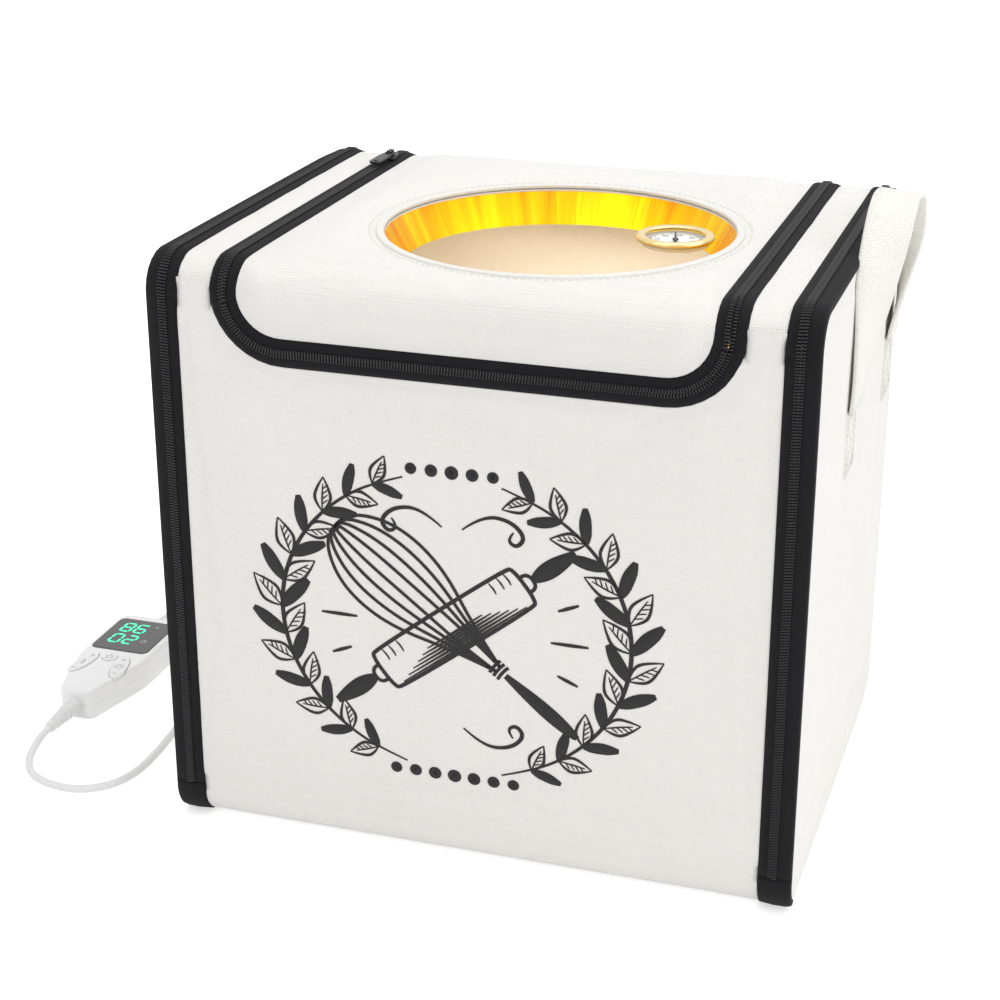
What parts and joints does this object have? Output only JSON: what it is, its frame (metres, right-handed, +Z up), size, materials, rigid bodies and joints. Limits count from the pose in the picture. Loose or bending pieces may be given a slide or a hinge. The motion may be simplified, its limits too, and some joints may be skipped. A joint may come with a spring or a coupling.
{
  "type": "folding dough proofer",
  "caption": "Foldable canvas box with a windowed zip lid, dial thermometer, heated base and a hand controller on a lead, for keeping dough warm",
  "frame": {"origin": "middle of the base's underside, on the table", "axes": "+Z up, the front with the lid's lip looks to -Y, +X to the right seen from the front"},
  "size_m": [0.5656, 0.4621, 0.3882],
  "materials": {
    "canvas": "off-white heavy canvas",
    "strap": "off-white cotton webbing",
    "zip": "black woven tape with a nylon coil",
    "lined_board": "light board faced with cream lining cloth",
    "core_foam": "light foam",
    "foil": "gold foil lining",
    "mat_cloth": "cream heating pad cloth",
    "clear_film": "clear flexible film",
    "ring_trim": "stitched canvas binding",
    "gold_metal": "polished gold plate",
    "dial_face": "white printed dial",
    "needle_black": "black enamel",
    "lens_clear": "clear lens",
    "slider_metal": "black enamelled zinc",
    "housing_white": "satin white moulded plastic",
    "button_white": "satin white moulded plastic",
    "display_black": "glossy black window",
    "circuit": "circuit board",
    "lead_white": "matt white lead jacket",
    "boot_white": "matt white moulded sleeve",
    "blade_metal": "bright contact metal"
  },
  "bodies": {
    "base": {"base_cover": "canvas", "base_board": "lined_board", "heating_mat": "mat_cloth", "cable_gland": "boot_white", "mat_lead": "lead_white", "base_zip_ends": "zip", "controller_back": "housing_white", "controller_front": "housing_white", "display_window": "display_black", "control_board": "circuit", "button_end_boot": "boot_white", "display_end_boot": "boot_white", "box_lead": "lead_white", "supply_lead": "lead_white", "supply_coil": "lead_white", "plug_body": "boot_white", "plug_blades": "blade_metal"},
    "back_wall": {"back_cover": "canvas", "back_board": "lined_board", "back_zips": "zip"},
    "front_wall": {"front_cover": "canvas", "front_board": "lined_board", "front_zips": "zip", "notch_zip": "zip"},
    "top": {"top_rails": "canvas", "rail_cores": "core_foam", "rail_zips": "zip"},
    "lid": {"lid_cover": "canvas", "lid_foam": "core_foam", "lid_lining": "foil", "lid_zip": "zip", "window_ring": "ring_trim", "window_film": "clear_film", "gauge_case": "gold_metal", "gauge_dial": "dial_face", "gauge_lens": "lens_clear", "gauge_bezel": "gold_metal"},
    "needle": {"gauge_needle": "needle_black"},
    "lid_runner": {"lid_slider": "slider_metal"},
    "lid_tab": {"lid_pull": "slider_metal"},
    "right_wall": {"right_cover": "canvas", "right_board": "lined_board", "right_zip": "zip"},
    "right_grip": {"right_handle": "strap"},
    "right_runner": {"right_slider": "slider_metal"},
    "right_tab": {"right_pull": "slider_metal"},
    "left_wall": {"left_cover": "canvas", "left_board": "lined_board", "left_zip": "zip"},
    "left_grip": {"left_handle": "strap"},
    "left_runner": {"left_slider": "slider_metal"},
    "left_tab": {"left_pull": "slider_metal"},
    "power_key": {"power_button": "button_white"},
    "temp_key": {"temp_rocker": "button_white"},
    "time_key": {"time_rocker": "button_white"}
  },
  "joints": [
    {"name": "back_fold", "type": "hinge", "parent": "base", "child": "back_wall", "pos_m": [0, 0.1425, 0.0253], "axis": [1, 0, 0], "range_deg": [0, 86]},
    {"name": "front_fold", "type": "hinge", "parent": "base", "child": "front_wall", "pos_m": [0, -0.1525, 0.0253], "axis": [1, 0, 0], "range_deg": [0, 86]},
    {"name": "top_fold", "type": "hinge", "parent": "back_wall", "child": "top", "pos_m": [0, 0.1525, 0.3338], "axis": [1, 0, 0], "range_deg": [-86, 0]},
    {"name": "lid_hinge", "type": "hinge", "parent": "top", "child": "lid", "pos_m": [0, 0.1525, 0.334], "axis": [1, 0, 0], "range_deg": [-178, 0]},
    {"name": "needle_turn", "type": "hinge", "parent": "lid", "child": "needle", "pos_m": [0.082, -0.021, 0.356], "axis": [0, 0, 1], "range_deg": [-130, 130]},
    {"name": "lid_zip_slide", "type": "slide", "parent": "lid", "child": "lid_runner", "axis": [0, -1, 0], "range_m": [0, 0.22]},
    {"name": "lid_tab_turn", "type": "hinge", "parent": "lid_runner", "child": "lid_tab", "pos_m": [-0.143, 0.112, 0.36135], "axis": [-1, 0, 0], "range_deg": [0, 170]},
    {"name": "right_wall_fold", "type": "hinge", "parent": "base", "child": "right_wall", "pos_m": [0.19, 0, 0.0253], "axis": [0, 1, 0], "range_deg": [0, 88]},
    {"name": "right_grip_turn", "type": "hinge", "parent": "right_wall", "child": "right_grip", "pos_m": [0.1943, 0.03, 0.272], "axis": [0, -1, 0], "range_deg": [-155, 0]},
    {"name": "right_zip_slide", "type": "slide", "parent": "right_wall", "child": "right_runner", "axis": [0, 0, 1], "range_m": [0, 0.22]},
    {"name": "right_tab_turn", "type": "hinge", "parent": "right_runner", "child": "right_tab", "pos_m": [0.18, 0.15785, 0.078], "axis": [1, 0, 0], "range_deg": [0, 170]},
    {"name": "left_wall_fold", "type": "hinge", "parent": "base", "child": "left_wall", "pos_m": [-0.19, 0, 0.0253], "axis": [0, -1, 0], "range_deg": [0, 88]},
    {"name": "left_grip_turn", "type": "hinge", "parent": "left_wall", "child": "left_grip", "pos_m": [-0.1943, 0.03, 0.272], "axis": [0, 1, 0], "range_deg": [0, 175]},
    {"name": "left_zip_slide", "type": "slide", "parent": "left_wall", "child": "left_runner", "axis": [0, 0, 1], "range_m": [0, 0.22]},
    {"name": "left_tab_turn", "type": "hinge", "parent": "left_runner", "child": "left_tab", "pos_m": [-0.18, 0.15785, 0.078], "axis": [1, 0, 0], "range_deg": [0, 170]},
    {"name": "power_press", "type": "slide", "parent": "base", "child": "power_key", "axis": [0, 0, -1], "range_m": [0, 0.0006], "stiffness_N_per_m": 900},
    {"name": "temp_rock", "type": "hinge", "parent": "base", "child": "temp_key", "pos_m": [-0.3258, -0.021, 0.0186], "axis": [1, 0, 0], "range_deg": [-2.5, 2.5], "stiffness_Nm_per_rad": 0.05},
    {"name": "time_rock", "type": "hinge", "parent": "base", "child": "time_key", "pos_m": [-0.2982, -0.021, 0.0186], "axis": [1, 0, 0], "range_deg": [-2.5, 2.5], "stiffness_Nm_per_rad": 0.05}
  ],
  "couplings": [
    {"joint": "front_fold", "follows": "back_fold", "ratio": 1},
    {"joint": "top_fold", "follows": "back_fold", "ratio": -1}
  ]
}
